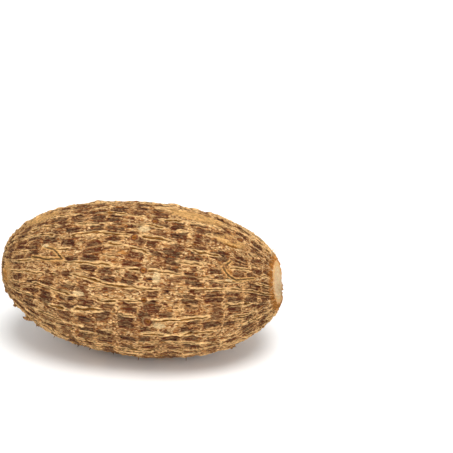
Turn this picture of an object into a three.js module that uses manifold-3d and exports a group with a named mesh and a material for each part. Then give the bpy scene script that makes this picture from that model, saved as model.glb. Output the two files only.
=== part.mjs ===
// One large taro corm, whole and dry-skinned, lying on its side on the flattened underside it rests on.
// Millimetres, +Z up. Origin: the middle of the footprint, on the surface that the corm rests on.
// +X is the crown end, where the leaf stalks were cut off; -X is the root end, which grew deepest.
import * as THREE from "three";
import { mergeVertices } from "three/addons/utils/BufferGeometryUtils.js";
import Module from "manifold-3d";

// Driving dimensions of the grown body, before its two flats are cut.
const BODY_LENGTH = 193;
const BODY_WIDTH = 106;
const BODY_HEIGHT = 105.5;
const FULLNESS = 2.09; // exponent of the side outline: 2 is an ellipse, more is blunter
const ROOT_END_TAPER = 0.02; // share by which the root end is slimmer than the crown end
const BOW = 2; // how far the middle of the body bows down from the line through its ends
const BELLY = 1.6; // extra fullness low on the root half, where most roots grew
const LEAN_DEG = 3; // how far the axis slopes down from the root end to the crown end

// Leaf scars: the raised rings that each old leaf base left round the corm.
const RING_COUNT = 14; // bands between rings, over the whole length
const RING_HEIGHT = 0.7;
const RING_HALF_WIDTH = 1.5;
const BAND_SWELL = 0.5; // how far the skin between two rings bulges

// The two flats.
const CROWN_CUT = 3.2; // depth of the stalk cut into the crown end
const CROWN_TILT_DEG = 9; // the cut faces up by this much
const CROWN_SWING_DEG = -5; // and round towards -Y by this much
const REST_CUT = 1.3; // depth of the flattened underside

// Mesh fineness.
const AROUND = 44;
const POLE_LOOPS = 5; // extra loops that round off each end

const SKIN = new THREE.MeshStandardMaterial({ color: "#9c7446", roughness: 0.85, metalness: 0 });

const wasm = await Module();
wasm.setup();

// Raised ring at each whole number of bands, and a soft swelling between two rings.
function ringRelief(x) {
  const bandLength = BODY_LENGTH / RING_COUNT;
  const band = (x + BODY_LENGTH / 2) / bandLength;
  const fromRing = Math.abs(band - Math.round(band)) * bandLength;
  const ring = RING_HEIGHT * Math.max(0, 1 - fromRing / RING_HALF_WIDTH);
  const swell = BAND_SWELL * Math.sin(Math.PI * (band - Math.floor(band)));
  return ring + swell;
}

// Stations along the axis: four to each band, and closer ones towards the two ends.
function stations() {
  const half = BODY_LENGTH / 2;
  const bandLength = BODY_LENGTH / RING_COUNT;
  const found = [];
  for (let ring = 1; ring < RING_COUNT; ring++) {
    const x = -half + ring * bandLength;
    found.push(x - RING_HALF_WIDTH, x, x + RING_HALF_WIDTH);
    if (ring < RING_COUNT - 1) found.push(x + bandLength / 2);
  }
  for (let loop = 1; loop <= POLE_LOOPS; loop++) {
    const depth = (bandLength - RING_HALF_WIDTH) * (loop / (POLE_LOOPS + 1)) ** 2;
    found.push(-half + depth, half - depth);
  }
  return found.sort((a, b) => a - b);
}

// Radius of a body of unit radius at an axial share from -1 at the root end to 1 at the crown end.
function outline(share) {
  const round = (1 - Math.abs(share) ** FULLNESS) ** (1 / FULLNESS);
  return round * (1 + ROOT_END_TAPER * share * (1 - share * share));
}

// The body as a lathe of its outline, laid along X and then shaped off the round.
function bodyGeometry() {
  const half = BODY_LENGTH / 2;
  const profile = [new THREE.Vector2(0, -half)];
  for (const x of stations()) {
    const radius = outline(x / half);
    const relief = ringRelief(x) * Math.min(1, 2 * radius);
    profile.push(new THREE.Vector2(radius + relief / (BODY_WIDTH / 2), x));
  }
  profile.push(new THREE.Vector2(0, half));
  const lathe = new THREE.LatheGeometry(profile, AROUND);
  lathe.rotateZ(-Math.PI / 2);
  const at = lathe.getAttribute("position");
  for (let i = 0; i < at.count; i++) {
    const share = at.getX(i) / half;
    const angle = Math.atan2(at.getZ(i), at.getY(i));
    const lobes = 0.012 * Math.cos(2 * angle + 0.7) + 0.01 * Math.cos(3 * angle + 2 * share);
    const radius = Math.hypot(at.getY(i), at.getZ(i)) * (1 + lobes);
    const belly = BELLY * Math.max(0, -Math.sin(angle)) * Math.exp(-((share + 0.55) ** 2) / 0.08);
    const y = (BODY_WIDTH / 2) * radius * Math.cos(angle);
    const z = (BODY_HEIGHT / 2 + belly) * radius * Math.sin(angle);
    at.setXYZ(i, at.getX(i), y, z - BOW * (1 - share * share));
  }
  lathe.rotateY(THREE.MathUtils.degToRad(LEAN_DEG));
  return lathe;
}

// A three.js geometry as a manifold-3d solid, with the faces that vanish at a pole left out.
function solidOf(geometry) {
  const bare = geometry.clone();
  bare.deleteAttribute("normal");
  bare.deleteAttribute("uv");
  const merged = mergeVertices(bare, 1e-3);
  const index = merged.index.array;
  const kept = [];
  for (let i = 0; i < index.length; i += 3) {
    const [a, b, c] = [index[i], index[i + 1], index[i + 2]];
    if (a !== b && b !== c && c !== a) kept.push(a, b, c);
  }
  const vertProperties = merged.getAttribute("position").array;
  return new wasm.Manifold(new wasm.Mesh({ numProp: 3, vertProperties, triVerts: new Uint32Array(kept) }));
}

// A block whose inner face lies on the plane through a point, with its outward normal given.
function blockBeyond(point, normal) {
  const size = 2 * BODY_LENGTH;
  const block = new THREE.BoxGeometry(size, size, size);
  block.translate(0, 0, size / 2);
  const turn = new THREE.Quaternion().setFromUnitVectors(new THREE.Vector3(0, 0, 1), normal);
  block.applyQuaternion(turn);
  block.translate(point.x, point.y, point.z);
  return solidOf(block);
}

// How far a geometry reaches along a direction, at its furthest vertex.
function furthest(geometry, direction) {
  const at = geometry.getAttribute("position");
  const point = new THREE.Vector3();
  let most = -Infinity;
  for (let i = 0; i < at.count; i++) {
    most = Math.max(most, point.fromBufferAttribute(at, i).dot(direction));
  }
  return most;
}

// The solid with everything beyond a plane cut off, a given depth in from its furthest point.
function cutEnd(solid, geometry, normal, depth) {
  const point = normal.clone().multiplyScalar(furthest(geometry, normal) - depth);
  return solid.subtract(blockBeyond(point, normal));
}

function geometryOf(solid) {
  const mesh = solid.getMesh();
  return new THREE.BufferGeometry()
    .setAttribute("position", new THREE.BufferAttribute(new Float32Array(mesh.vertProperties), 3))
    .setIndex(new THREE.BufferAttribute(new Uint32Array(mesh.triVerts), 1));
}

// Puts the geometry's footprint centre at the origin, with its flat underside at z = 0.
function setDown(geometry) {
  geometry.computeBoundingBox();
  const { min, max } = geometry.boundingBox;
  return geometry.translate(-(min.x + max.x) / 2, -(min.y + max.y) / 2, -min.z);
}

function corm() {
  const body = bodyGeometry();
  const crown = new THREE.Vector3(1, 0, 0)
    .applyAxisAngle(new THREE.Vector3(0, 1, 0), -THREE.MathUtils.degToRad(CROWN_TILT_DEG))
    .applyAxisAngle(new THREE.Vector3(0, 0, 1), THREE.MathUtils.degToRad(CROWN_SWING_DEG));
  const down = new THREE.Vector3(0, 0, -1);
  let solid = solidOf(body);
  solid = cutEnd(solid, body, crown, CROWN_CUT);
  solid = cutEnd(solid, body, down, REST_CUT);
  const mesh = new THREE.Mesh(setDown(geometryOf(solid)), SKIN);
  mesh.name = "corm";
  return mesh;
}

const part = new THREE.Group();
part.add(corm());

export default part;
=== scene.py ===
import math
import random
from functools import partial

import bpy
import numpy as np
from mathutils import Matrix, Vector


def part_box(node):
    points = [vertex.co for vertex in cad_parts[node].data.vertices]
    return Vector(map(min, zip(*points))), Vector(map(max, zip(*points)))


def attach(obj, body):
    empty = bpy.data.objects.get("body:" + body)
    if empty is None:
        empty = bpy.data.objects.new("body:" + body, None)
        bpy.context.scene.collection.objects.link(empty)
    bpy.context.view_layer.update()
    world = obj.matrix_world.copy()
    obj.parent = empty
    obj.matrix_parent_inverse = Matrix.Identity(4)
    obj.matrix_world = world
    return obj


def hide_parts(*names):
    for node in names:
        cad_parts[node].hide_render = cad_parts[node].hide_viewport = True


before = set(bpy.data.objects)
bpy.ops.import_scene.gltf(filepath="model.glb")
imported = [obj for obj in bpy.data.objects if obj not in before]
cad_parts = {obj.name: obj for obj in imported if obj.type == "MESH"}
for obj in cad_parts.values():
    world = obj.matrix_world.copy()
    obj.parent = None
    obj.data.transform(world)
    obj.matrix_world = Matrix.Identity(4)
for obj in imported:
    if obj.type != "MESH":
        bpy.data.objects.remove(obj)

bl_info = {
    "name": "Taro corm",
    "version": (1, 0, 0),
    "blender": (4, 5, 0),
    "location": "View3D > Sidebar > Corm",
    "description": "One large taro corm with ringed, cracked, fibrous skin, lying on a pale studio floor",
    "category": "Add Mesh",
}

MM = 0.001
TAU = math.tau

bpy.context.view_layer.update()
LOW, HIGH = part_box("corm")
MIDDLE = (LOW + HIGH) / 2
HALF_SIZE = (HIGH - LOW) / 2
GIRTH_RADIUS = (HALF_SIZE.y + HALF_SIZE.z) / 2 / MM

# The skin's own map: its radius shrinks slower than the body's towards the ends, and its length grows faster.
REACH_POWER = 0.35
END_STRETCH = 22
END_POWER = 8

# Rows of scales are uneven: over how many mm, and by how many rows.
UNEVEN_MM = 13
UNEVEN_ROWS = 2.2
# How far fraying eats into a scale's edge, where 1 is half the scale's size.
RAGGED = 2.8
# Lips between rows: the noise values between which they open, and half their width in mm.
ROW_OPENS = (0.5, 0.64)
ROW_WIDTH = 1.05
# Flecks of colour: their size in mm round the corm and along it, and how far they wander.
FLECK_MM = (1.0, 1.0, 1.5)
FLECK_WANDER = 2.0
# How much a crack's edge frays, and half the distance between rings on the cut crown, in mm.
CRACK_FRAY = 1.4
CROWN_HALF_RING = 1.2
# Share of the relief that is missing on bare cork, the cut crown and the root end.
SMOOTHED = 0.7
# Share of a strand's length that the handles of its curve reach.
HANDLE = 0.35
# How strong the light from all round is.
SKY = 0.57


# Places on the skin are mm along the corm from its middle, and degrees up round it from the front.
# Eyes: along, turn, radius in mm. The small ones are pin holes.
EYES = (
    (9, 33, 2.3), (11, 13, 2.1), (14, -3, 2.8), (0, 56, 2.3), (42, 34, 1.4), (66, 76, 2.6), (11, 72, 2.4),
    (-50, 52, 1.0), (-64, 31, 0.9), (-33, -22, 2.1), (-8, 108, 2.4), (38, 131, 2.6), (-47, 150, 2.2),
    (17, 176, 2.5), (-70, -95, 2.1), (30, -140, 2.3), (-20, -160, 2.4), (74, -30, 1.6),
)
# Bare cork: along, turn, half length and half width in mm.
BARE = (
    (17.5, 29, 2.6, 3.8), (21, -6, 4.4, 2.2), (5, 64, 4, 2.5), (-32, 12, 4.5, 1.6), (48, 118, 8, 3),
    (-12, 165, 9, 3.5), (52, -170, 10, 4), (-55, -140, 7, 3), (-58, 47, 3, 1.6), (62, 33, 3.4, 1.5),
)
# Shoulders where the bark has rubbed off down to golden fibre, and a painted highlight on top of the right
# shoulder: along, turn, half length and half width in mm.
RUBBED_AND_LIT = (
    # The patch at 36 mm and 90 degrees is painted highlight where the light falls on top.
    (-70, 90, 16, 9), (36, 90, 22, 8), (60, 70, 12, 5), (-87, 14, 10, 15), (-20, 170, 16, 8),
    (70, -110, 12, 8),
)
# Young amber cork in the forks of splits: along, turn, half length and half width in mm.
FORKS = (
    (-47, 36, 4, 2.6), (61, 40, 4, 3), (-6, 44, 4, 1.4), (-88, 8, 5, 9), (20, -152, 5, 3), (-30, 128, 5, 3),
)
# Painted shadow under lifted scales: dark slots, also sunk into the relief, where a flake stands up. Along, turn,
# half length and half width in mm.
LIFTED_SHADOWS = ((60, 66, 8, 1.4), (-22, 141, 7, 1.4), (38, -155, 7, 1.5))
# Forked cracks: the corners of each, along and turn.
CRACKS = (
    ((62, 49), (58, 43), (62, 37), (67, 34), (78, 39)),
    ((-66, 37), (-56, 35), (-45, 36), (-51, 43), (-59, 46)),
    ((12, -148), (21, -152), (30, -149), (24, -144)),
    ((-40, 124), (-30, 128), (-20, 126), (-26, 133)),
)

# Noises of the skin: mm across and along the corm, detail, roughness, and a shift that keeps them apart.
# Real bast fibre is near 0.1 mm thick, too fine to show: fibres and specks are as coarse as they need to be.
GRAINS = {
    "slow": (24, 46, 1, 0.5, 3.1),
    "patch": (14, 19, 2, 0.5, 7.3),
    "ripple": (7, 20, 2, 0.5, 1.9),
    "wave": (2.8, 6, 1, 0.5, 8.7),
    "fray": (1.2, 2.0, 3, 0.65, 5.3),
    "fringe": (0.8, 16, 2, 0.7, 3.7),
    "fibres": (0.6, 3.4, 3, 0.65, 2.2),
    "streaks": (1.4, 7, 3, 0.6, 6.4),
    "specks": (0.8, 1.1, 2, 0.6, 4.8),
    "wrinkle": (1.9, 17, 2, 0.5, 7.7),
    "crease": (1.2, 9, 1, 0.5, 0.9),
    "broken": (3, 5, 1, 0.5, 9.9),
    "gape": (6, 7, 1, 0.5, 0.4),
}
# Noises that swing either side of nothing, and those whose middle value draws lines.
SWINGS = ("slow", "patch", "ripple", "wave", "fringe", "wrinkle", "crease")
LINES = ("wrinkle", "crease")

# How lines wander: a start, then each noise with its share.
SWAYS = {
    "long_sway": (0.0, {"slow": 1.0, "wave": 0.24}),
    "fine_sway": (0.0, {"slow": 3.6, "wave": 0.5}),
    "ring_sway": (0.5, {"ripple": 0.55, "wave": 0.2}),
    "spot_edge": (-0.45, {"fray": 0.9}),
    "eye_edge": (-0.5, {"fray": 1.0}),
    "torn": (0.0, {"fray": 14.0, "along": 1.0}),
    "crown_out": (-2.5, {"fray": 5.0, "cut_out": 1.0}),
    "crown_wave": (0.0, {"fray": 2.5, "cut_out": 1.0}),
}
# Splits: a seed, how far a line runs in mm before it turns, how far it strays in lanes, how long a gape is in
# mm, between which noise values it opens, and half the width of its lips in mm.
SPLITS = {
    "long": {"seed": 4.0, "run": 38, "stray": 1.0, "gape": 17, "opens": (0.37, 0.53), "width": 1.7},
    "fine": {"seed": 9.0, "run": 20, "stray": 0.9, "gape": 10, "opens": (0.42, 0.58), "width": 1.0},
}
# Smooth steps from 0 to 1: what is read, where the step starts and where it ends.
STEPS = {
    "long_lip": ("long_gap", 0.35, -0.5),
    "long_core": ("long_gap", -1.0, -1.4),
    "fine_lip": ("fine_gap", 0.3, -0.5),
    "fine_core": ("fine_gap", -0.55, -0.8),
    "row_lip": ("row_gap", 0.1, -0.5),
    "row_core": ("row_gap", -0.65, -0.9),
    "wrinkle_lip": ("wrinkle", 0.075, 0.03),
    "wrinkle_core": ("wrinkle", 0.024, 0.006),
    "crease_lip": ("crease", 0.1, 0.05),
    "crease_core": ("crease", 0.03, 0.008),
    "cover": ("ragged", 2.4, 2.18),
    "rim": ("ragged", 5.6, 2.6),
    "present": ("stay", 0.14, 0.24),
    "slit": ("streaks", 0.72, 0.64),
    "shade": ("streaks", 0.36, 0.62),
    "worn": ("fibres", 0.45, 0.56),
    "reddish": ("two", 0.55, 0.95),
    "near_ring": ("to_ring", 0.85, 0.3),
    "ring_shows": ("broken", 0.48, 0.6),
    "pale_fleck": ("fleck", 0.74, 0.8),
    "dark_fleck": ("fleck", 0.24, 0.18),
    "tan_fleck": ("fleck", 0.4, 0.5),
    "granular": ("patch", -0.02, -0.12),
    "warm": ("slow", -0.1, 0.14),
    "speckle": ("specks", 0.3, 0.7),
    "eye_rim": ("eye_off", 1.6, 1.1),
    "eye_wall": ("eye_off", 1.15, 0.9),
    "eye_cork": ("eye_off", 0.75, 0.5),
    "eye_pit": ("eye_off", 0.42, 0.2),
    "bare": ("bare_off", 1.1, 0.8),
    "rubbed_and_lit": ("rubbed_and_lit_off", 1.2, 0.6),
    "beyond_rubbed_and_lit": ("rubbed_and_lit_off", 0.55, 1.25),
    "fork": ("fork_off", 1.2, 0.5),
    "lifted_shadow": ("lifted_shadow_off", 1.1, 0.8),
    "lip_shows": ("streaks", 0.34, 0.52),
    "root_end": ("torn", -101, -106),
    "crown_rim": ("cut_mm", -3.2, -1.0),
    "crown_fringe": ("crown_out", 9.5, 12.0),
    "crown_ring": ("crown_fold", 0.75, 1.1),
    "crack_lip": ("crack_mm", 2.3, 1.1),
    "crack_core": ("crack_mm", 0.9, 0.4),
    "fade": ("one", -0.4, 0.45),
    "cut": ("cut_mm", -0.55, -0.2),
}
# Marks that show only as far as another does.
LIMITS = (
    ("long_lip", "lip_shows"), ("fine_lip", "lip_shows"), ("row_lip", "lip_shows"), ("fine_core", "beyond_rubbed_and_lit"),
    ("row_core", "beyond_rubbed_and_lit"), ("long_core", "beyond_rubbed_and_lit"), ("long_lip", "beyond_rubbed_and_lit"), ("cover", "beyond_rubbed_and_lit"),
    ("rim", "beyond_rubbed_and_lit"), ("speckle", "cut"), ("crown_fringe", "cut"), ("crown_ring", "cut"),
    ("cover", "fade"), ("cover", "present"), ("cover", "slit"), ("rim", "present"),
    ("near_ring", "ring_shows"),
    ("reddish", "cover"), ("worn", "cover"), ("tan_fleck", "cover"), ("granular", "pale_fleck"),
)
# Coats of colour over the fibre: the mark that a coat fills, its share and its colour.
COATS = (
    ("warm", 0.5, "halo"), ("pale_fleck", 0.6, "cream"), ("granular", 0.8, "cream"),
    ("wrinkle_lip", 0.3, "lip"), ("wrinkle_core", 0.5, "scale_red"),
    ("row_lip", 0.7, "lip"), ("row_core", 0.85, "core"), ("fine_lip", 0.85, "lip"),
    ("fine_core", 0.9, "core"),
    ("rim", 0.68, "halo"), ("cover", 0.98, "scale_dark"), ("reddish", 0.45, "scale_red"),
    ("worn", 0.32, "halo"),
    ("tan_fleck", 0.17, "halo"), ("crease_lip", 0.3, "lip"), ("crease_core", 0.45, "scale_dark"),
    # The rubbed patches are golden fibre and, on top of the right shoulder, painted highlight.
    ("near_ring", 0.4, "ring"), ("dark_fleck", 0.7, "scale_red"), ("rubbed_and_lit", 0.78, "gold"),
    ("long_lip", 0.95, "lip"), ("long_core", 0.92, "core"), ("fork", 0.6, "amber"),
    ("crack_lip", 0.75, "gold"), ("crack_core", 0.75, "scale_dark"),
    ("bare", 0.88, "cream"),
    # The lifted mark paints the split floor colour as painted shadow under lifted scales.
    ("lifted_shadow", 0.9, "core"), ("root_end", 0.6, "gold"), ("crown_rim", 0.8, "amber"), ("cut", 0.95, "flesh"),
    ("speckle", 0.2, "amber"), ("crown_ring", 0.35, "amber"), ("crown_fringe", 0.7, "gold"),
    ("eye_rim", 0.35, "lip"), ("eye_wall", 0.85, "scale_red"),
    ("eye_cork", 0.8, "eye"), ("eye_pit", 0.9, "core"),
)
# Heights in mm: what the mesh carries, and what only the finish's bump does.
RELIEF = {
    "slow": 2.0, "patch": 1.2, "streaks": 1.3, "cover": -0.35, "near_ring": 0.3, "row_lip": 0.4,
    "fine_lip": 0.55, "fine_core": -0.4, "long_lip": 0.9, "long_core": -0.6, "eye_rim": 0.6, "eye_pit": -0.8,
    "lifted_shadow": -1.4, "crack_lip": 0.7, "crack_core": -0.7,
}
RELIEF_START = -0.9
BUMP = {
    "fibres": 1.1, "specks": 1.2, "fleck": 0.6, "wrinkle_lip": 0.25, "wrinkle_core": -0.35,
    "crease_lip": 0.2, "crease_core": -0.3, "cover": -0.2, "near_ring": 0.3, "row_lip": 0.3,
    "row_core": -0.4, "fine_lip": 0.3, "fine_core": -0.4, "long_lip": 0.35, "long_core": -0.4,
    "crack_lip": 0.3, "crack_core": -0.4, "cut": 0.55,
}
# Painted shade and painted highlight: the skin's colour is darkened in its fine hollows and lightened on its fine
# ridges. Heights in mm, and the colour's share there.
PAINTED_SHADE_BY_HEIGHT = (0.9, 2.2, 0.6, 1.4)
SHEEN = {"skin": 0.86, "scale": 0.6}

# Strands: how many, where they may stand along (mm) and round (degrees), their length and root radius in mm,
# how much they stray sideways, and their colours.
STRANDS = {
    "rootlets": {
        "count": 70, "along": (-88, 40), "turn": (-170, -45), "length": (1.0, 3.2), "radius": 0.34,
        "stray": 0.9,
        "colours": ("#3d2318", "#8a5a34"),
    },
    "crown_hairs": {
        "count": 26, "along": (85, 91), "turn": (-20, 140), "length": (2.5, 6.0), "radius": 0.18,
        "stray": 0.8,
        "colours": ("#c99a62", "#f1d9ae"),
    },
}
# Soft lights: where they come from, how wide they look in degrees, and their power.
SUNS = (
    ("key", (0.2, -0.3, 1.0), 30, 2.2), ("right", (0.95, -0.35, 0.3), 40, 1.15),
    ("left", (-0.9, -0.3, 0.5), 40, 0.5),
)
# No strand is set on the skin lower than this, so that no strand reaches through the floor.
FLOOR_GAP = 4.5 * MM
# Loose flakes of bark: along and turn, length and width in mm, and degrees that the free edge stands up.
FLAKES = (
    (60, 71, 9, 3.4, 24), (-82, -48, 5, 3, 42), (-74, -55, 6, 3, 38), (-66, -59, 4, 3, 46),
    (-58, -62, 6, 3, 34),
    (-88, -30, 4, 3, 40), (-47, 33, 5, 2, 22), (59, 44, 5, 2, 20), (-22, 143, 8, 3, 26), (38, -153, 8, 3, 26),
    (-40, -66, 5, 2.5, 34), (66, -60, 5, 2.5, 34), (-79, 58, 5, 2.5, 24), (-3, 47, 5, 2, 20),
)


# ---------------------------------------------------------------- helpers


def linear(hex_code):
    """An sRGB hex colour as linear red, green, blue and alpha."""
    shares = [int(hex_code[start : start + 2], 16) / 255 for start in (1, 3, 5)]
    return (*[s / 12.92 if s <= 0.04045 else ((s + 0.055) / 1.055) ** 2.4 for s in shares], 1.0)


def add(tree, kind, *feeds, out=0, named=None, **settings):
    """Adds a node, sets it, feeds its inputs in order and by name, and returns one of its outputs."""
    made = tree.nodes.new(kind)
    for name, value in settings.items():
        setattr(made, name, value)
    for key, value in [*enumerate(feeds), *(named or {}).items()]:
        if isinstance(value, bpy.types.NodeSocket):
            tree.links.new(value, made.inputs[key])
        elif value is not None:
            made.inputs[key].default_value = value
    return made.outputs[out]


def colour_property(label, hex_code, words):
    """A colour that a user can change."""
    return bpy.props.FloatVectorProperty(
        name=label, description=words, subtype="COLOR", size=4, min=0, max=1, default=linear(hex_code)
    )


def length_property(label, millimetres, words):
    """A length in metres that a user can change."""
    return bpy.props.FloatProperty(
        name=label, description=words, unit="LENGTH", subtype="DISTANCE", default=millimetres * MM, min=0
    )


def select_only(piece):
    """Makes one object the selected and active one."""
    bpy.ops.object.select_all(action="DESELECT")
    piece.select_set(True)
    bpy.context.view_layer.objects.active = piece


def finish_with(piece, kind, **settings):
    """Adds a modifier to the active piece, sets it and applies it."""
    made = piece.modifiers.new(kind.capitalize(), kind)
    for name, value in settings.items():
        setattr(made, name, value)
    bpy.ops.object.modifier_apply(modifier=made.name)


# ---------------------------------------------------------------- what a user can change


class CormForm(bpy.types.PropertyGroup):
    """Sizes of the corm's growth marks."""

    ring_count: bpy.props.IntProperty(
        name="Leaf scar rings", description="Bands between rings over the whole length", default=14, min=4
    )
    lean: bpy.props.FloatProperty(
        name="Lean", description="How far the axis slopes down towards the crown end",
        subtype="ANGLE", default=math.radians(3),
    )
    scale_rows: bpy.props.IntProperty(
        name="Scale rows", description="Bark scales round one band", default=62, min=8
    )
    split_lanes: bpy.props.IntProperty(
        name="Long splits", description="Lanes round the corm that can hold a long split", default=32, min=3
    )
    check_lanes: bpy.props.IntProperty(
        name="Fine checks", description="Lanes round the corm that can hold a fine check", default=62, min=3
    )


class CormColours(bpy.types.PropertyGroup):
    """Colours of the corm's dry skin."""

    fibre_dark: colour_property("Fibre, dark", "#a5662e", "Shaded bast fibre between scales")
    fibre_light: colour_property("Fibre, light", "#e6aa6a", "Sun-dried bast fibre")
    # Gold is also painted as highlight on top of the right shoulder.
    gold: colour_property("Fibre, rubbed", "#ecb56e", "Golden fibre where the bark has rubbed off")
    scale_dark: colour_property("Scale, dark", "#2a171a", "Oldest bark scales, almost purple")
    scale_red: colour_property("Scale, red", "#7a3a22", "Thin bark scales that the flesh warms")
    lip: colour_property("Split lip", "#f4c688", "Corky lips that stand up beside a split")
    # The split floor colour is also painted as shadow under lifted scales.
    core: colour_property("Split floor", "#8a561b", "Floor of a split")
    halo: colour_property("Scale edge", "#924e1e", "Worn edge of a bark scale, where fibre shows through")
    ring: colour_property("Ring line", "#e2b070", "Pale fibre fringe on a leaf scar ring")
    cream: colour_property("Bare cork", "#f8d49c", "Cork laid bare where a scale has come off")
    amber: colour_property("Young cork", "#cd8236", "Fresh cork in forks of splits and round the cut crown")
    flesh: colour_property("Cut crown", "#ffe0b2", "Dried flesh where the leaf stalks were cut off")
    eye: colour_property("Eye", "#bb7838", "Corky cone in the middle of a bud's eye")


class CormStudio(bpy.types.PropertyGroup):
    """Where the camera stands and how it sees."""

    azimuth: bpy.props.FloatProperty(
        name="Azimuth", description="Camera's turn round the corm", subtype="ANGLE", default=math.radians(6.5)
    )
    elevation: bpy.props.FloatProperty(
        name="Elevation", description="Camera's height angle", subtype="ANGLE", default=math.radians(25)
    )
    distance: length_property("Distance", 750, "From the camera to what it aims at")
    lens: bpy.props.FloatProperty(
        name="Lens", description="Focal length in mm on a 36 mm sensor", unit="CAMERA", default=87.5, min=10
    )
    aim_right: length_property("Aim right", 57.8, "How far the aim is right of the corm's middle")
    aim_up: length_property("Aim up", 34.4, "How far the aim is above the corm's middle")


# ---------------------------------------------------------------- pattern of the skin


def weighted(node, marks, start, shares):
    """A start plus each mark times its share."""
    total = start
    for mark, share in shares.items():
        total = node("ShaderNodeMath", marks[mark], share, total, operation="MULTIPLY_ADD")
    return total


def splits(node, skin, sway, lanes, seed, run, stray, gape, opens, width):
    """Splits along the corm, one wandering line to a lane: mm out from the edge of the nearest one's lips."""
    x, y, along = node("ShaderNodeSeparateXYZ", skin).node.outputs
    turn = node("ShaderNodeMath", y, x, operation="ARCTAN2")
    place = node("ShaderNodeMath", turn, lanes / TAU, sway, operation="MULTIPLY_ADD")
    lane = node("ShaderNodeMath", place, operation="ROUND")
    name = node("ShaderNodeMath", lane, float(lanes), 0.0, operation="WRAP")
    row = node("ShaderNodeMath", name, 7.31, seed, operation="MULTIPLY_ADD")
    noises = []
    for mm, level in ((run, seed), (gape, seed + 3)):
        course = node("ShaderNodeMath", along, 1 / mm, operation="MULTIPLY")
        where = node("ShaderNodeCombineXYZ", course, row, level)
        noises.append(node("ShaderNodeTexNoise", named={"Vector": where, "Scale": 1.0, "Detail": 0.0}))
    bend = node("ShaderNodeMath", noises[0], stray, -stray / 2, operation="MULTIPLY_ADD")
    off = node("ShaderNodeMath", place, lane, operation="SUBTRACT")
    off = node("ShaderNodeMath", off, bend, operation="SUBTRACT")
    off = node("ShaderNodeMath", off, operation="ABSOLUTE")
    flat = node("ShaderNodeVectorMath", skin, (1, 1, 0), operation="MULTIPLY")
    radius = node("ShaderNodeVectorMath", flat, operation="LENGTH", out="Value")
    lane_mm = node("ShaderNodeMath", radius, TAU / lanes, operation="MULTIPLY")
    off = node("ShaderNodeMath", off, lane_mm, operation="MULTIPLY")
    opening = (*opens, 0.0, float(width))
    open_mm = node("ShaderNodeMapRange", noises[1], *opening, interpolation_type="SMOOTHSTEP")
    return node("ShaderNodeMath", off, open_mm, operation="SUBTRACT")


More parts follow.
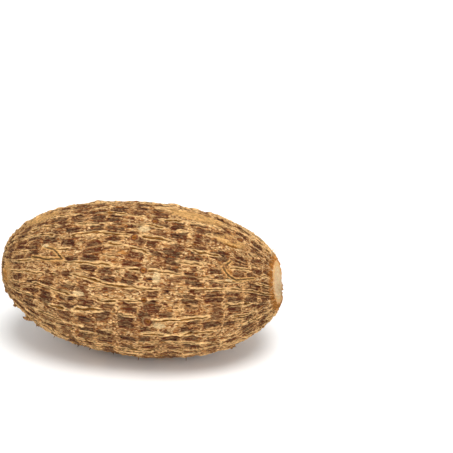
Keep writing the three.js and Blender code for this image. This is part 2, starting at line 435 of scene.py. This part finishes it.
def scales(node, skin, marks, pitch, count):
    """Bark scales in rows, band by band: how far out of a scale a place is, where 1 is its edge, three
    numbers of the scale's own, and mm to the ring and out from the lips between rows."""
    x, y, along = node("ShaderNodeSeparateXYZ", skin).node.outputs
    turn = node("ShaderNodeMath", y, x, operation="ARCTAN2")
    bands = node("ShaderNodeMath", along, 1 / pitch, marks["ring_sway"], operation="MULTIPLY_ADD")
    band = node("ShaderNodeMath", bands, operation="FLOOR")
    in_band = node("ShaderNodeMath", bands, operation="FRACT")
    level = node("ShaderNodeMath", band, 9.7, operation="MULTIPLY")
    place = node("ShaderNodeVectorMath", skin, (1 / UNEVEN_MM, 1 / UNEVEN_MM, 0), operation="MULTIPLY")
    lift = node("ShaderNodeCombineXYZ", 0.0, 0.0, level)
    place = node("ShaderNodeVectorMath", place, lift, operation="ADD")
    uneven = node("ShaderNodeTexNoise", named={"Vector": place, "Scale": 1.0, "Detail": 0.0})
    rows = node("ShaderNodeMath", turn, count / TAU, marks["fine_sway"], operation="MULTIPLY_ADD")
    rows = node("ShaderNodeMath", uneven, UNEVEN_ROWS, rows, operation="MULTIPLY_ADD")
    row = node("ShaderNodeMath", rows, operation="FLOOR")
    in_row = node("ShaderNodeMath", rows, operation="FRACT")
    row = node("ShaderNodeMath", row, float(count), 0.0, operation="WRAP")
    name = node("ShaderNodeCombineXYZ", row, band, 0.0)
    dice = node("ShaderNodeTexWhiteNoise", named={"Vector": name}, out="Color")
    one, two, three = node("ShaderNodeSeparateXYZ", dice).node.outputs

    from_ring = node("ShaderNodeMath", in_band, -0.5, operation="ADD")
    from_middle = node("ShaderNodeMath", two, 0.36, -0.18, operation="MULTIPLY_ADD")
    from_middle = node("ShaderNodeMath", from_ring, from_middle, operation="SUBTRACT")
    from_middle = node("ShaderNodeMath", from_middle, operation="ABSOLUTE")
    from_ring = node("ShaderNodeMath", from_ring, operation="ABSOLUTE")
    half_length = node("ShaderNodeMath", one, 0.2, 0.25, operation="MULTIPLY_ADD")
    half_length = node("ShaderNodeMath", marks["fringe"], 0.4, half_length, operation="MULTIPLY_ADD")
    lengthwise = node("ShaderNodeMath", from_middle, half_length, operation="DIVIDE")
    lengthwise = node("ShaderNodeMath", lengthwise, 6.0, operation="POWER")
    off = node("ShaderNodeMath", in_row, -0.5, operation="ADD")
    off = node("ShaderNodeMath", off, operation="ABSOLUTE")
    half_height = node("ShaderNodeMath", three, 0.17, 0.28, operation="MULTIPLY_ADD")
    across = node("ShaderNodeMath", off, half_height, operation="DIVIDE")
    across = node("ShaderNodeMath", across, 4.0, operation="POWER")
    reach = node("ShaderNodeMath", across, lengthwise, operation="ADD")

    flat = node("ShaderNodeVectorMath", skin, (1, 1, 0), operation="MULTIPLY")
    radius = node("ShaderNodeVectorMath", flat, operation="LENGTH", out="Value")
    row_mm = node("ShaderNodeMath", radius, TAU / count, operation="MULTIPLY")
    to_row = node("ShaderNodeMath", off, -1.0, 0.5, operation="MULTIPLY_ADD")
    to_row = node("ShaderNodeMath", to_row, row_mm, operation="MULTIPLY")
    open_mm = node("ShaderNodeMapRange", marks["gape"], *ROW_OPENS, 0.0, ROW_WIDTH, interpolation_type="SMOOTHSTEP")
    return {
        "one": one, "two": two, "three": three,
        "ragged": node("ShaderNodeMath", marks["fray"], RAGGED, reach, operation="MULTIPLY_ADD"),
        "to_ring": node("ShaderNodeMath", from_ring, -pitch, pitch / 2, operation="MULTIPLY_ADD"),
        "row_gap": node("ShaderNodeMath", to_row, open_mm, operation="SUBTRACT"),
    }


def skin_place(along, turn):
    """Where a place that far along and round the corm lies in the skin's own map."""
    share = abs(along) / (HALF_SIZE.x / MM)
    reach = GIRTH_RADIUS * (1 - share**2) ** (0.5 * REACH_POWER)
    angle = math.radians(turn)
    along += math.copysign(END_STRETCH * share**END_POWER, along)
    return Vector((reach * math.cos(angle), reach * math.sin(angle), along))


def nearest_spot(node, skin, spots, wobble):
    """How far the nearest of some oval spots is, where 1 is its edge."""
    found = None
    for along, turn, *sizes in spots:
        half_length, half_width = sizes if len(sizes) == 2 else sizes * 2
        scale = Vector((1 / half_width, 1 / half_width, 1 / half_length))
        place = skin_place(along, turn)
        shift = [-s * p for s, p in zip(scale, place)]
        gap = node("ShaderNodeVectorMath", skin, tuple(scale), tuple(shift), operation="MULTIPLY_ADD")
        gap = node("ShaderNodeVectorMath", gap, operation="LENGTH", out="Value")
        found = gap if found is None else node("ShaderNodeMath", found, gap, operation="MINIMUM")
    return node("ShaderNodeMath", found, wobble, operation="ADD")


def nearest_crack(node, skin, cracks):
    """How far the nearest of some cracks is, in mm, on the skin rolled out flat at its full girth."""
    x, y, along = node("ShaderNodeSeparateXYZ", skin).node.outputs
    turn = node("ShaderNodeMath", y, x, operation="ARCTAN2")
    turn = node("ShaderNodeMath", turn, GIRTH_RADIUS, operation="MULTIPLY")
    flat = node("ShaderNodeCombineXYZ", turn, 0.0, along)
    found = None
    for corners in cracks:
        places = []
        for mm, degrees in corners:
            places.append(Vector((math.radians(degrees) * GIRTH_RADIUS, 0, skin_place(mm, degrees).z)))
        for start, end in zip(places, places[1:]):
            run = end - start
            gap = node("ShaderNodeVectorMath", flat, tuple(start), operation="SUBTRACT")
            slope = tuple(run / run.length_squared)
            share = node("ShaderNodeVectorMath", gap, slope, operation="DOT_PRODUCT", out="Value")
            share = node("ShaderNodeClamp", share)
            back = node("ShaderNodeVectorMath", tuple(-run), named={"Scale": share}, operation="SCALE")
            gap = node("ShaderNodeVectorMath", gap, back, operation="ADD")
            gap = node("ShaderNodeVectorMath", gap, operation="LENGTH", out="Value")
            found = gap if found is None else node("ShaderNodeMath", found, gap, operation="MINIMUM")
    return found


def skin_pattern(tree, skin, crown, form):
    """Every mark of the skin as a socket, in mm or from 0 to 1. The relief and the finish both draw it."""
    node = partial(add, tree)
    marks = {"along": node("ShaderNodeSeparateXYZ", skin, out=2)}
    marks["cut_out"], marks["cut_mm"], _ = node("ShaderNodeSeparateXYZ", crown).node.outputs
    for name, (across, along, detail, roughness, shift) in GRAINS.items():
        scale = (1 / across, 1 / across, 1 / along)
        place = node("ShaderNodeVectorMath", skin, scale, (shift, shift, shift), operation="MULTIPLY_ADD")
        feeds = {"Vector": place, "Scale": 1.0, "Detail": float(detail), "Roughness": roughness}
        marks[name] = node("ShaderNodeTexNoise", named=feeds)
    for name in SWINGS:
        marks[name] = node("ShaderNodeMath", marks[name], -0.5, operation="ADD")
    for name in LINES:
        marks[name] = node("ShaderNodeMath", marks[name], operation="ABSOLUTE")
    for name, (start, shares) in SWAYS.items():
        marks[name] = weighted(node, marks, start, shares)
    for kind, lanes in (("long", form.split_lanes), ("fine", form.check_lanes)):
        marks[kind + "_gap"] = splits(node, skin, marks[kind + "_sway"], lanes, **SPLITS[kind])
    marks.update(scales(node, skin, marks, 2 * HALF_SIZE.x / MM / form.ring_count, form.scale_rows))
    marks["stay"] = weighted(node, marks, 0.0, {"three": 1.0, "patch": 1.7})
    for kind, places in (("bare", BARE), ("rubbed_and_lit", RUBBED_AND_LIT), ("fork", FORKS), ("lifted_shadow", LIFTED_SHADOWS)):
        marks[kind + "_off"] = nearest_spot(node, skin, places, marks["spot_edge"])
    marks["eye_off"] = nearest_spot(node, skin, EYES, marks["eye_edge"])
    marks["crack_mm"] = nearest_crack(node, skin, CRACKS)
    marks["crack_mm"] = weighted(node, marks, -CRACK_FRAY / 2, {"fray": CRACK_FRAY, "crack_mm": 1.0})
    marks["crown_fold"] = node("ShaderNodeMath", marks["crown_wave"], CROWN_HALF_RING, operation="PINGPONG")

    cells = node("ShaderNodeVectorMath", skin, tuple(1 / mm for mm in FLECK_MM), operation="MULTIPLY")
    nudge = node("ShaderNodeVectorMath", (FLECK_WANDER,) * 3, named={"Scale": marks["wave"]}, operation="SCALE")
    cells = node("ShaderNodeVectorMath", cells, nudge, operation="ADD")
    flecks = node("ShaderNodeTexVoronoi", named={"Vector": cells, "Scale": 1.0}, out="Color")
    marks["fleck"] = node("ShaderNodeSeparateXYZ", flecks)
    for name, (source, start, end) in STEPS.items():
        marks[name] = node(
            "ShaderNodeMapRange", marks[source], float(start), float(end), interpolation_type="SMOOTHSTEP"
        )
    for name, limit in LIMITS:
        marks[name] = node("ShaderNodeMath", marks[name], marks[limit], operation="MULTIPLY")
    return marks


# ---------------------------------------------------------------- finishes


def skin_finish(form, colours):
    """Dry taro skin: bast fibre with old bark scales on it. Fibre is matt and streaky, scales have a dull waxy
    sheen, and splits are dark in the middle with corky lips that catch the light. Its colour also carries painted
    shade in fine hollows and a painted highlight on fine ridges."""
    made = bpy.data.materials.new("dry_taro_skin")
    made.use_nodes = True
    tree = made.node_tree
    tree.nodes.clear()
    node = partial(add, tree)
    skin = node("ShaderNodeAttribute", attribute_name="skin_mm", out="Vector")
    crown = node("ShaderNodeAttribute", attribute_name="crown_mm", out="Vector")
    marks = skin_pattern(tree, skin, crown, form)

    fibre = {0: marks["shade"], 6: tuple(colours.fibre_dark), 7: tuple(colours.fibre_light)}
    colour = node("ShaderNodeMix", named=fibre, data_type="RGBA", out=2)
    for mark, share, name in COATS:
        factor = node("ShaderNodeMath", marks[mark], share, operation="MULTIPLY")
        coat = {0: factor, 6: colour, 7: tuple(getattr(colours, name))}
        colour = node("ShaderNodeMix", named=coat, data_type="RGBA", out=2)
    height = weighted(node, marks, 0.0, BUMP)
    # Painted shade and highlight: the colour is darkened where the fine height is low and lightened where it is
    # high.
    painted_shade = node("ShaderNodeMapRange", height, *PAINTED_SHADE_BY_HEIGHT)
    painted_shade = node("ShaderNodeCombineXYZ", painted_shade, painted_shade, painted_shade)
    colour = node("ShaderNodeVectorMath", colour, painted_shade, operation="MULTIPLY")
    bump = node("ShaderNodeBump", named={"Strength": 1.0, "Distance": MM, "Height": height})
    rough = node("ShaderNodeMapRange", marks["cover"], 0.0, 1.0, SHEEN["skin"], SHEEN["scale"])
    feeds = {"Base Color": colour, "Roughness": rough, "Normal": bump, "IOR": 1.45, "Specular IOR Level": 0.1}
    shader = node("ShaderNodeBsdfPrincipled", named=feeds)
    tree.links.new(shader, tree.nodes.new("ShaderNodeOutputMaterial").inputs["Surface"])
    return made


def streaky(name, dark, light, grain_mm):
    """Dry plant fibre: matt, with light streaks. Real fibre is near 0.1 mm, too fine to show, so the streaks
    are drawn near a millimetre wide."""
    made = bpy.data.materials.new(name)
    made.use_nodes = True
    tree = made.node_tree
    tree.nodes.clear()
    node = partial(add, tree)
    place = node("ShaderNodeTexCoord", out="Object")
    feeds = {"Vector": place, "Scale": 1 / (grain_mm * MM), "Detail": 2.0}
    noise = node("ShaderNodeTexNoise", named=feeds)
    shade = node("ShaderNodeMapRange", noise, 0.35, 0.65)
    feeds = {0: shade, 6: linear(dark), 7: linear(light)}
    colour = node("ShaderNodeMix", named=feeds, data_type="RGBA", out=2)
    feeds = {"Base Color": colour, "Roughness": 0.85, "Specular IOR Level": 0.2}
    shader = node("ShaderNodeBsdfPrincipled", named=feeds)
    tree.links.new(shader, tree.nodes.new("ShaderNodeOutputMaterial").inputs["Surface"])
    return made


# ---------------------------------------------------------------- body


def smooth_copy_of(name):
    """A merged, rounded copy of a CAD node, for other pieces to be fitted to."""
    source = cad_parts[name]
    copy = source.copy()
    copy.data = source.data.copy()
    copy.parent = None
    bpy.context.collection.objects.link(copy)
    select_only(copy)
    bpy.ops.object.mode_set(mode="EDIT")
    bpy.ops.mesh.select_all(action="SELECT")
    bpy.ops.mesh.remove_doubles(threshold=0.01 * MM)
    bpy.ops.object.mode_set(mode="OBJECT")
    finish_with(copy, "SUBSURF", levels=2, render_levels=2)
    return copy


def relief_tree(form):
    """Geometry nodes that lift the skin's marks out of the surface."""
    tree = bpy.data.node_groups.new("skin_relief", "GeometryNodeTree")
    tree.interface.new_socket("Geometry", in_out="INPUT", socket_type="NodeSocketGeometry")
    tree.interface.new_socket("Geometry", in_out="OUTPUT", socket_type="NodeSocketGeometry")
    node = partial(add, tree)
    start = node("NodeGroupInput")
    skin = node("GeometryNodeInputNamedAttribute", "skin_mm", data_type="FLOAT_VECTOR")
    crown = node("GeometryNodeInputNamedAttribute", "crown_mm", data_type="FLOAT_VECTOR")
    marks = skin_pattern(tree, skin, crown, form)
    height = weighted(node, marks, RELIEF_START, RELIEF)
    smooth = marks["bare"]
    for name in ("cut", "root_end"):
        smooth = node("ShaderNodeMath", smooth, marks[name], operation="MAXIMUM")
    keep = node("ShaderNodeMath", smooth, -SMOOTHED, 1.0, operation="MULTIPLY_ADD")
    height = node("ShaderNodeMath", height, keep, operation="MULTIPLY")
    height = node("ShaderNodeMath", height, MM, operation="MULTIPLY")
    normal = node("GeometryNodeInputNormal")
    shift = node("ShaderNodeVectorMath", normal, named={"Scale": height}, operation="SCALE")
    place = node("GeometryNodeInputPosition")
    place = node("ShaderNodeVectorMath", place, shift, operation="ADD")
    place = node("ShaderNodeVectorMath", place, (-1.0, -1.0, 0.0), operation="MAXIMUM")
    moved = node("GeometryNodeSetPosition", start, None, place)
    tree.links.new(moved, tree.nodes.new("NodeGroupOutput").inputs[0])
    return tree


def crown_cut():
    """The middle of the flat where the leaf stalks were cut off, and its outward normal."""
    faces = [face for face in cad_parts["corm"].data.polygons if face.normal.x > 0.9]
    flat = max(faces, key=lambda face: face.area)
    faces = [face for face in faces if face.normal.dot(flat.normal) > 0.9999]
    middle = sum((face.center * face.area for face in faces), Vector()) / sum(face.area for face in faces)
    return np.array(middle), np.array(flat.normal)


def write_skin_places(body, lean):
    """Stores each vertex's place on the skin, round the axis and along it, and its place at the crown's cut,
    out from its middle and above it. All are in mm."""
    mesh = body.data
    co = np.empty(len(mesh.vertices) * 3, np.float32)
    mesh.vertices.foreach_get("co", co)
    co = co.reshape(-1, 3)
    middle, normal = crown_cut()
    above = (co - middle) @ normal / MM
    out = np.sqrt(np.maximum(((co - middle) ** 2).sum(1) / MM**2 - above**2, 0))
    crown = np.stack([out, above, 0 * out], 1).astype(np.float32)
    co = (co - np.array(MIDDLE)) / MM
    along = co[:, 0] * math.cos(lean) - co[:, 2] * math.sin(lean)
    up = co[:, 0] * math.sin(lean) + co[:, 2] * math.cos(lean)
    front = -co[:, 1]
    radius = np.maximum(np.hypot(front, up), 1e-3)
    reach = GIRTH_RADIUS * (radius / GIRTH_RADIUS) ** REACH_POWER
    share = np.clip(np.abs(along) / (HALF_SIZE.x / MM), 0, 1)
    along = along + np.sign(along) * END_STRETCH * share**END_POWER
    skin = np.stack([front / radius * reach, up / radius * reach, along], 1).astype(np.float32)
    mesh.attributes.new("skin_mm", "FLOAT_VECTOR", "POINT").data.foreach_set("vector", skin.ravel())
    mesh.attributes.new("crown_mm", "FLOAT_VECTOR", "POINT").data.foreach_set("vector", crown.ravel())


class CORM_OT_body(bpy.types.Operator):
    """Grows the corm's body and its skin"""

    bl_idname = "corm.body"
    bl_label = "Body"

    def execute(self, context):
        form = context.scene.corm_form
        target = smooth_copy_of("corm")
        bpy.ops.object.select_all(action="DESELECT")
        bpy.ops.mesh.primitive_uv_sphere_add(
            segments=560, ring_count=176, radius=1, location=MIDDLE, rotation=(0, math.pi / 2, 0)
        )
        body = context.object
        body.name = "corm_body"
        body.data.uv_layers[0].name = "OFBake"
        bpy.ops.object.transform_apply(location=False, rotation=True, scale=False)
        bpy.ops.transform.resize(value=tuple(HALF_SIZE))
        bpy.ops.object.transform_apply(location=True, rotation=True, scale=True)
        finish_with(
            body, "SHRINKWRAP", target=target, wrap_method="PROJECT", use_negative_direction=True,
            use_positive_direction=True,
        )
        finish_with(body, "SMOOTH", factor=0.5, iterations=20)
        bpy.data.objects.remove(target)
        write_skin_places(body, form.lean)
        finish_with(body, "NODES", node_group=relief_tree(form))
        bpy.ops.object.shade_smooth()
        body.data.materials.clear()
        body.data.materials.append(skin_finish(form, context.scene.corm_colours))
        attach(body, "root")
        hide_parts("corm")
        return {"FINISHED"}


# ---------------------------------------------------------------- what stands on the skin


def spot(body, along, turn, lean):
    """A place on the body and the directions along it, round it and out of it there. mm and degrees."""
    angle = math.radians(turn)
    axis = Vector((math.cos(lean), 0, -math.sin(lean)))
    up = Vector((math.sin(lean), 0, math.cos(lean)))
    outward = up * math.sin(angle) + Vector((0, -1, 0)) * math.cos(angle)
    start = MIDDLE + axis * along * MM
    hit, place, normal, _ = body.ray_cast(start + outward * 4 * HALF_SIZE.y, -outward)
    if not hit:
        raise RuntimeError(f"no skin at {along} mm and {turn} degrees")
    around = normal.cross(axis).normalized()
    return place, around.cross(normal), around, normal


def gather(name, finish):
    """Joins the selected objects into one finished piece that rides on the root."""
    bpy.ops.object.join()
    bpy.ops.object.convert(target="MESH")
    piece = bpy.context.object
    bpy.ops.object.transform_apply(location=True, rotation=True, scale=True)
    piece.name = name
    bpy.ops.object.shade_smooth()
    piece.data.materials.clear()
    piece.data.materials.append(finish)
    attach(piece, "root")


class CORM_OT_strands(bpy.types.Operator):
    """Grows the rootlet stubs low on the root half and the hairs round the cut crown"""

    bl_idname = "corm.strands"
    bl_label = "Rootlets and hairs"

    def execute(self, context):
        lean = context.scene.corm_form.lean
        body = bpy.data.objects["corm_body"]
        for name, kind in STRANDS.items():
            dice = random.Random(name)
            strands = []
            for _ in range(kind["count"]):
                along_mm = dice.uniform(*kind["along"])
                turn = dice.uniform(*kind["turn"])
                place, along, around, out = spot(body, along_mm, turn, lean)
                if place.z < FLOOR_GAP:
                    continue
                length = dice.uniform(*kind["length"]) * MM
                side = along * dice.uniform(-1, 1) + around * dice.uniform(-1, 1)
                root = place - out * kind["radius"] * MM
                tip = place + (out + side * kind["stray"]).normalized() * length
                bpy.ops.curve.primitive_bezier_curve_add(location=(0, 0, 0))
                strand = context.object
                strand.data.bevel_depth = MM
                strand.data.bevel_resolution = 1
                strand.data.resolution_u = 4
                strand.data.use_fill_caps = True
                ends = strand.data.splines[0].bezier_points
                for end, co, reach, share in ((ends[0], root, out, 1), (ends[1], tip, side, 0.4)):
                    end.handle_left_type = end.handle_right_type = "FREE"
                    end.co = co
                    end.handle_left = co - reach * length * HANDLE
                    end.handle_right = co + reach * length * HANDLE
                    end.radius = kind["radius"] * share
                strands.append(strand)
            bpy.ops.object.select_all(action="DESELECT")
            for strand in strands:
                strand.select_set(True)
            gather(name, streaky("dry_" + name, *kind["colours"], 0.8))
        return {"FINISHED"}


class CORM_OT_flakes(bpy.types.Operator):
    """Lifts loose flakes of old bark off the skin"""

    bl_idname = "corm.flakes"
    bl_label = "Bark flakes"

    def execute(self, context):
        lean = context.scene.corm_form.lean
        body = bpy.data.objects["corm_body"]
        flakes = []
        for seed, (along, turn, length, width, lift) in enumerate(FLAKES):
            place, ahead, around, out = spot(body, along, turn, lean)
            bpy.ops.object.select_all(action="DESELECT")
            bpy.ops.mesh.primitive_grid_add(x_subdivisions=7, y_subdivisions=3, size=1)
            flake = context.object
            bpy.ops.transform.resize(value=(length * MM, width * MM, 1))
            bpy.ops.object.transform_apply(location=True, rotation=True, scale=True)
            bpy.ops.object.mode_set(mode="EDIT")
            bpy.ops.mesh.select_all(action="SELECT")
            bpy.ops.transform.vertex_random(offset=0.5 * MM, uniform=1.0, seed=seed)
            bpy.ops.object.mode_set(mode="OBJECT")
            stand = Matrix((ahead, around, out)).transposed() @ Matrix.Rotation(math.radians(lift), 3, "X")
            flake.matrix_world = Matrix.Translation(place + out * 0.5 * MM) @ stand.to_4x4()
            finish_with(flake, "SOLIDIFY", thickness=0.4 * MM, offset=0.0)
            flakes.append(flake)
        bpy.ops.object.select_all(action="DESELECT")
        for flake in flakes:
            flake.select_set(True)
        gather("bark_flakes", streaky("old_taro_bark", "#5a3420", "#c08f56", 0.9))
        return {"FINISHED"}


# ---------------------------------------------------------------- stage


def matt(name, colour, roughness):
    """A plain matt finish, like paper without sheen, that stays an even white under soft light."""
    made = bpy.data.materials.new(name)
    made.use_nodes = True
    shader = made.node_tree.nodes["Principled BSDF"]
    shader.inputs["Base Color"].default_value = colour
    shader.inputs["Roughness"].default_value = roughness
    return made


class CORM_OT_stage(bpy.types.Operator):
    """Sets the floor, the lights and the camera"""

    bl_idname = "corm.stage"
    bl_label = "Stage"

    def execute(self, context):
        studio = context.scene.corm_studio
        scene = context.scene
        bpy.ops.object.select_all(action="DESELECT")
        bpy.ops.mesh.primitive_plane_add(size=20, location=(0, 0, 0))
        floor = context.object
        floor.name = "floor"
        floor.data.materials.append(matt("white_paper", linear("#fbfbfa"), 0.9))

        world = bpy.data.worlds.new("studio")
        world.use_nodes = True
        background = world.node_tree.nodes["Background"]
        background.inputs["Color"].default_value = linear("#ffffff")
        background.inputs["Strength"].default_value = SKY
        scene.world = world

        for name, place, angle, power in SUNS:
            bpy.ops.object.light_add(type="SUN", location=place)
            light = context.object
            light.name = name
            light.data.angle = math.radians(angle)
            light.data.energy = power
            light.rotation_euler = Vector(place).to_track_quat("Z", "Y").to_euler()

        turn, lift = studio.azimuth, studio.elevation
        back = Vector((math.sin(turn) * math.cos(lift), -math.cos(turn) * math.cos(lift), math.sin(lift)))
        right = Vector((math.cos(turn), math.sin(turn), 0))
        up = back.cross(right)
        aim = MIDDLE + right * studio.aim_right + up * studio.aim_up
        bpy.ops.object.camera_add(location=aim + back * studio.distance)
        camera = context.object
        camera.rotation_euler = back.to_track_quat("Z", "Y").to_euler()
        camera.data.lens = studio.lens
        scene.camera = camera
        scene.view_settings.view_transform = "Standard"
        return {"FINISHED"}


class CORM_PT_panel(bpy.types.Panel):
    """Lists the corm's pieces"""

    bl_idname = "CORM_PT_panel"
    bl_label = "Taro corm"
    bl_space_type = "VIEW_3D"
    bl_region_type = "UI"
    bl_category = "Corm"

    def draw(self, context):
        for operator in OPERATORS:
            self.layout.operator(operator.bl_idname)


OPERATORS = (CORM_OT_body, CORM_OT_strands, CORM_OT_flakes, CORM_OT_stage)
GROUPS = {"corm_form": CormForm, "corm_colours": CormColours, "corm_studio": CormStudio}


def register():
    for made in (*GROUPS.values(), *OPERATORS, CORM_PT_panel):
        bpy.utils.register_class(made)
    for name, group in GROUPS.items():
        setattr(bpy.types.Scene, name, bpy.props.PointerProperty(type=group))


def unregister():
    for name in GROUPS:
        delattr(bpy.types.Scene, name)
    for made in (CORM_PT_panel, *reversed(OPERATORS), *GROUPS.values()):
        bpy.utils.unregister_class(made)


def main():
    register()
    bpy.ops.corm.body()
    bpy.ops.corm.strands()
    bpy.ops.corm.flakes()
    bpy.ops.corm.stage()


if __name__ == "__main__":
    main()
